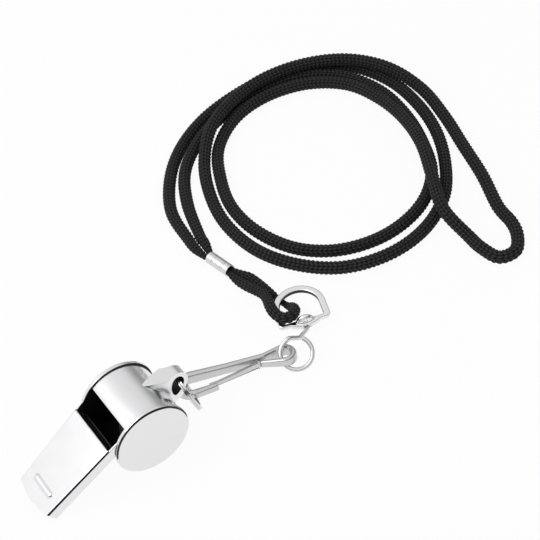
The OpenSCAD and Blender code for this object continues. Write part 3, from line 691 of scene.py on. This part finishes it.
class WHISTLE_OT_pea(bpy.types.Operator):
    """Makes the pitted cork pea"""
    bl_idname = "whistle.pea"
    bl_label = "Cork pea"

    def execute(self, context):
        sizes = context.scene.whistle_sizes
        low, high = (Vector(corner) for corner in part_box("pea"))
        mesh = bpy.data.meshes.new("cork_pea_mesh")
        work = bmesh.new()
        bmesh.ops.create_icosphere(work, subdivisions=5, radius=(high.x - low.x) / 2)
        for v in work.verts:
            rough = noise.fractal(v.co * 900.0, 1.0, 2.0, 3)
            v.co -= v.normal * sizes.cork_pits * max(rough, 0.0)
            v.co += (low + high) / 2
        for f in work.faces:
            f.smooth = True
        work.to_mesh(mesh)
        work.free()
        mesh.materials.append(bpy.data.materials["cork_pea"])
        piece = bpy.data.objects.new("cork_pea", mesh)
        context.scene.collection.objects.link(piece)
        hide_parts("pea")
        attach(piece, BODY_OF["pea"])
        return {"FINISHED"}


class WHISTLE_OT_chain(bpy.types.Operator):
    bl_idname = "whistle.chain"
    bl_label = "Ring, clip and loop"

    def execute(self, context):
        sizes, cord = context.scene.whistle_sizes, context.scene.cord_sizes
        edges = {"clip_hook": sizes.clip_edge, "clip_gate": sizes.clip_edge,
                 "d_ring": sizes.loop_edge}
        pieces = {}
        for node, finish in CHAIN.items():
            pieces[node] = merged_copy(node, sizes.fold_angle, edges.get(node, 0.0))
            pieces[node].data.materials.append(bpy.data.materials[finish])
        # near-black nickel for the painted shade on the loop's inner wall
        pieces["d_ring"].data.materials.append(bpy.data.materials["painted_shade_nickel"])
        paint_loop_shade(pieces["d_ring"])
        thicken(pieces["swivel_eye"], sizes.swivel_coat, ("d_ring", "clip_hook"))
        thicken(pieces["clip_hook"], sizes.clip_coat,
                ("split_ring", "clip_gate", "swivel_eye", "ear"))
        line, _ = smooth_route(LANYARD_ROUTE, [1.0] * len(LANYARD_ROUTE))
        line, _ = smooth_route(BIGHT_ROUTE, [1.0] * len(BIGHT_ROUTE))
        return {"FINISHED"}


class WHISTLE_OT_studio(bpy.types.Operator):
    """Makes the pale floor, the key lamp and the surrounding light"""
    bl_idname = "whistle.studio"
    bl_label = "Studio"

    def execute(self, context):
        studio = context.scene.studio_sizes
        scene = context.scene
        scene.view_settings.view_transform = "Standard"
        self.world(scene, studio)
        self.floor(scene)
        lamp = bpy.data.lights.new("key_lamp", "AREA")
        lamp.size = KEY_SIZE
        lamp.energy = studio.key_power
        key = bpy.data.objects.new("key_lamp", lamp)
        key.location = KEY_AT
        key.rotation_euler = (KEY_AIM - KEY_AT).to_track_quat("-Z", "Y").to_euler()
        scene.collection.objects.link(key)
        return {"FINISHED"}

    @staticmethod
    def world(scene, studio):
        """White for the camera; for metal, white with one dark band above the floor."""
        world = bpy.data.worlds.new("white_studio")
        scene.world = world
        world.use_nodes = True
        tree = world.node_tree
        tree.nodes.clear()
        path = add(tree, "ShaderNodeLightPath").outputs
        way = add(tree, "ShaderNodeTexCoord").outputs["Generated"]
        right, back, up = add(tree, "ShaderNodeSeparateXYZ", {0: way}).outputs
        behind = span(tree, right, -0.4, 0.4, 0.95, studio.dark_back)
        before = span(tree, up, 0.28, 0.4, 0.8, studio.dark_front)
        band = span(tree, back, -0.3, 0.3, before, behind)
        band_ends = span(tree, back, -0.3, 0.3, 0.64, 0.2)
        sky_starts = span(tree, back, -0.3, 0.3, 0.76, 0.62)
        rise = span(tree, up, band_ends, sky_starts, smooth=True)
        top = span(tree, right, -0.5, 0.7, 1.0, 0.8)
        sky = maths(tree, "ADD", maths(tree, "MULTIPLY", band, maths(tree, "SUBTRACT", 1.0, rise)),
                    maths(tree, "MULTIPLY", top, rise))
        white = (1, 1, 1, 1)
        soft = add(tree, "ShaderNodeBackground", {"Color": white, "Strength": studio.light})
        mirrored = add(tree, "ShaderNodeBackground", {"Color": sky, "Strength": 1.0})
        plain = add(tree, "ShaderNodeBackground", {"Color": white, "Strength": 1.0})
        seen = maths(tree, "MAXIMUM", path["Is Glossy Ray"], path["Is Transmission Ray"])
        first = add(tree, "ShaderNodeMixShader", {
            0: seen, 1: soft.outputs[0], 2: mirrored.outputs[0]})
        last = add(tree, "ShaderNodeMixShader", {
            0: path["Is Camera Ray"], 1: first.outputs[0], 2: plain.outputs[0]})
        out = tree.nodes.new("ShaderNodeOutputWorld")
        tree.links.new(last.outputs[0], out.inputs[0])

    @staticmethod
    def floor(scene):
        """A floor that shows the camera a faint shadow on white, and what hangs below it."""
        mesh = bpy.data.meshes.new("floor")
        corners = [(x * FLOOR_REACH, y * FLOOR_REACH, 0)
                   for x, y in ((-1, -1), (1, -1), (1, 1), (-1, 1))]
        mesh.from_pydata(corners, [], [(0, 1, 2, 3)])
        floor = bpy.data.objects.new("floor", mesh)
        scene.collection.objects.link(floor)
        material, tree, shader = new_material("white_floor")
        shader.inputs["Base Color"].default_value = (0.9, 0.9, 0.9, 1)
        shader.inputs["Roughness"].default_value = 0.9
        shader.inputs["Specular IOR Level"].default_value = 0.0
        glow = add(tree, "ShaderNodeEmission", {"Color": (1, 1, 1, 1), "Strength": 1.0})
        clear = add(tree, "ShaderNodeBsdfTransparent")
        path = add(tree, "ShaderNodeLightPath").outputs
        bright = add(tree, "ShaderNodeMixShader", {
            0: maths(tree, "MULTIPLY", path["Is Glossy Ray"], FLOOR_GLOW),
            1: shader.outputs[0], 2: glow.outputs[0]})
        mix = add(tree, "ShaderNodeMixShader", {
            0: maths(tree, "MULTIPLY", path["Is Camera Ray"], FLOOR_CLEAR),
            1: bright.outputs[0], 2: clear.outputs[0]})
        tree.links.new(mix.outputs[0], tree.nodes["Material Output"].inputs[0])
        mesh.materials.append(material)


class WHISTLE_PT_panel(bpy.types.Panel):
    """Lists the steps that dress the whistle"""
    bl_label = "Whistle"
    bl_idname = "WHISTLE_PT_panel"
    bl_space_type = "VIEW_3D"
    bl_region_type = "UI"
    bl_category = "Whistle"

    def draw(self, context):
        for operator in OPERATORS:
            self.layout.operator(operator.bl_idname)
        for group in ("whistle_sizes", "cord_sizes", "studio_sizes"):
            sizes = getattr(context.scene, group)
            for name in sizes.bl_rna.properties.keys():
                if name not in ("rna_type", "name"):
                    self.layout.prop(sizes, name)


GROUPS = {"whistle_sizes": WhistleSizes, "cord_sizes": CordSizes, "studio_sizes": StudioSizes}
OPERATORS = (WHISTLE_OT_materials, WHISTLE_OT_camera, WHISTLE_OT_cord, WHISTLE_OT_whistle,
             WHISTLE_OT_pea, WHISTLE_OT_chain, WHISTLE_OT_studio)


def register():
    for kind in (*GROUPS.values(), *OPERATORS, WHISTLE_PT_panel):
        bpy.utils.register_class(kind)
    for name, group in GROUPS.items():
        setattr(bpy.types.Scene, name, bpy.props.PointerProperty(type=group))


def unregister():
    for name in GROUPS:
        delattr(bpy.types.Scene, name)
    for kind in (WHISTLE_PT_panel, *reversed(OPERATORS), *reversed(GROUPS.values())):
        bpy.utils.unregister_class(kind)


def main():
    register()
    for operator in OPERATORS:
        getattr(bpy.ops.whistle, operator.bl_idname.split(".")[1])()


if __name__ == "__main__":
    main()
